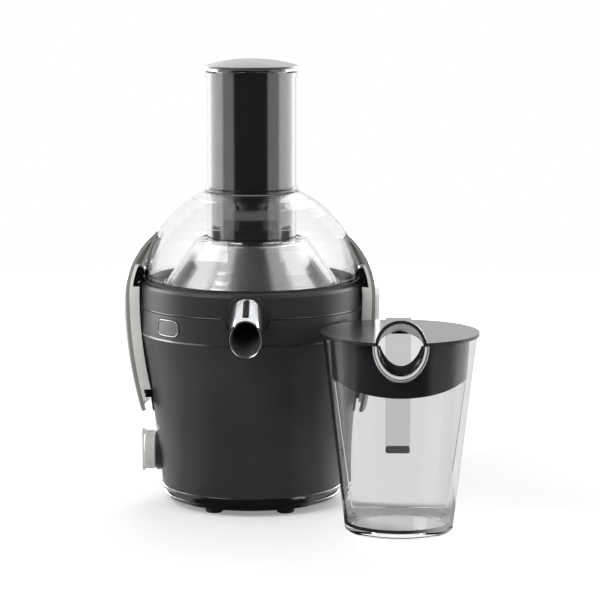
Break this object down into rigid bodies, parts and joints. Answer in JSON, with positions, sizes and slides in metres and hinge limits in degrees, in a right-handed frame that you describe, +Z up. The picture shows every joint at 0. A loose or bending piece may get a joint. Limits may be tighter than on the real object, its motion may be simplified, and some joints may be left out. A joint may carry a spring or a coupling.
{
  "type": "centrifugal juicer",
  "caption": "Upright centrifugal juicer with a flared dark housing, clear domed lid, wide feed tube with pusher, side clamps and sloping spout, beside a clear lidded juice jug.",
  "frame": {"origin": "the juicer's own axis, on the table plane that its feet and the jug stand on", "axes": "+Z up, -Y the way the juice spout points, +X towards the jug; the speed knob is on -X"},
  "size_m": [0.339, 0.3029, 0.4299],
  "materials": {
    "charcoal_plastic": "satin",
    "bowl_plastic": "satin, dark",
    "black_plastic": "fine satin",
    "gloss_black": "glossy",
    "bright_trim": "bright plated",
    "polished_steel": "polished",
    "sieve_steel": "etched, satin",
    "clamp_grey": "satin anodised",
    "clamp_chrome": "bright plated",
    "black_rubber": "matte",
    "clear_plastic": "clear, polished",
    "taupe_plastic": "satin",
    "grey_button": "satin",
    "knob_silver": "brushed",
    "jug_lid_grey": "satin, smoked",
    "laminations": "varnished",
    "copper_wire": "enamelled copper",
    "cast_bracket": "cast",
    "bearing_steel": "ground",
    "nylon_white": "moulded"
  },
  "bodies": {
    "housing": {"motor_housing": "charcoal_plastic", "control_band": "charcoal_plastic", "trim_ring": "bright_trim", "bowl_seat": "black_plastic", "bottom_cover": "black_plastic", "cord_winder": "black_plastic", "base_plate": "black_plastic", "base_lip": "bright_trim", "rubber_feet": "black_rubber", "cord_inlet": "black_rubber", "motor_stator": "laminations", "field_coils": "copper_wire", "upper_bracket": "cast_bracket", "lower_bracket": "cast_bracket", "bearings": "bearing_steel", "rubber_mounts": "black_rubber", "tie_bolts": "bearing_steel", "brush_gear": "black_plastic", "shaft_seal": "black_rubber", "speed_switch": "nylon_white", "interlock_switches": "black_plastic", "button_bezel": "black_plastic", "button_switch": "nylon_white", "knob_collar": "black_plastic", "clamp_brackets": "black_plastic", "clamp_pins": "bearing_steel"},
    "spindle": {"motor_shaft": "bearing_steel", "armature": "laminations", "commutator": "copper_wire", "cooling_fan": "nylon_white", "drive_coupling": "black_plastic"},
    "sieve": {"sieve_base": "black_plastic", "sieve_mesh": "sieve_steel", "grater_disc": "sieve_steel"},
    "bowl": {"pulp_bowl": "bowl_plastic", "bowl_rim": "bowl_plastic", "juice_collector": "black_plastic", "collector_cone": "polished_steel", "cone_jacket": "clear_plastic", "spout_sleeve": "bright_trim", "spout_liner": "gloss_black"},
    "lid": {"lid_dome": "clear_plastic", "feed_tube": "clear_plastic", "lid_gasket": "black_rubber", "lid_catches": "gloss_black"},
    "pusher": {"pusher_body": "gloss_black", "pusher_cap": "taupe_plastic"},
    "left_clamp": {"left_clamp_arm": "clamp_chrome", "left_clamp_skin": "clamp_grey", "left_clamp_hook": "gloss_black"},
    "right_clamp": {"right_clamp_arm": "clamp_chrome", "right_clamp_skin": "clamp_grey", "right_clamp_hook": "gloss_black"},
    "knob": {"speed_knob": "knob_silver", "knob_spindle": "black_plastic"},
    "button": {"button_cap": "grey_button"},
    "jug": {"jug_body": "clear_plastic", "jug_handle": "clear_plastic", "froth_separator": "clear_plastic"},
    "jug_cover": {"jug_lid": "jug_lid_grey"}
  },
  "joints": [
    {"name": "lid_lift", "type": "slide", "parent": "bowl", "child": "lid", "axis": [0, 0, 1], "range_m": [0, 0.032]},
    {"name": "bowl_lift", "type": "slide", "parent": "housing", "child": "bowl", "axis": [0, 0, 1], "range_m": [0, 0.0193]},
    {"name": "sieve_lift", "type": "slide", "parent": "spindle", "child": "sieve", "axis": [0, 0, 1], "range_m": [0, 0.0385]},
    {"name": "left_clamp_swing", "type": "hinge", "parent": "housing", "child": "left_clamp", "pos_m": [-0.10372, 0, 0.107], "axis": [0, -1, 0], "range_deg": [0, 26.05]},
    {"name": "right_clamp_swing", "type": "hinge", "parent": "housing", "child": "right_clamp", "pos_m": [0.10372, 0, 0.107], "axis": [0, 1, 0], "range_deg": [0, 26.05]},
    {"name": "spindle_spin", "type": "hinge", "parent": "housing", "child": "spindle", "pos_m": [0, 0, 0.083], "axis": [0, 0, 1], "continuous": true},
    {"name": "pusher_slide", "type": "slide", "parent": "lid", "child": "pusher", "axis": [0, 0, 1], "range_m": [0, 0.17]},
    {"name": "knob_turn", "type": "hinge", "parent": "housing", "child": "knob", "pos_m": [-0.1, 0, 0.049], "axis": [-1, 0, 0], "range_deg": [0, 90]},
    {"name": "button_press", "type": "slide", "parent": "housing", "child": "button", "axis": [0.7071, 0.7071, 0], "range_m": [0, 0.0022], "stiffness_N_per_m": 600},
    {"name": "jug_slide", "type": "slide", "parent": "housing", "child": "jug", "axis": [1, 0, 0], "range_m": [0, 0.0401]},
    {"name": "jug_lid_lift", "type": "slide", "parent": "jug", "child": "jug_cover", "axis": [0, 0, 1], "range_m": [0, 0.06]}
  ],
  "couplings": [
    {"joint": "bowl_lift", "follows": "lid_lift", "ratio": 0.6},
    {"joint": "sieve_lift", "follows": "lid_lift", "ratio": 1.2},
    {"joint": "jug_slide", "follows": "lid_lift", "ratio": 1.25},
    {"joint": "left_clamp_swing", "follows": "lid_lift", "rad_per_m": 14.181},
    {"joint": "right_clamp_swing", "follows": "lid_lift", "rad_per_m": 14.181}
  ]
}
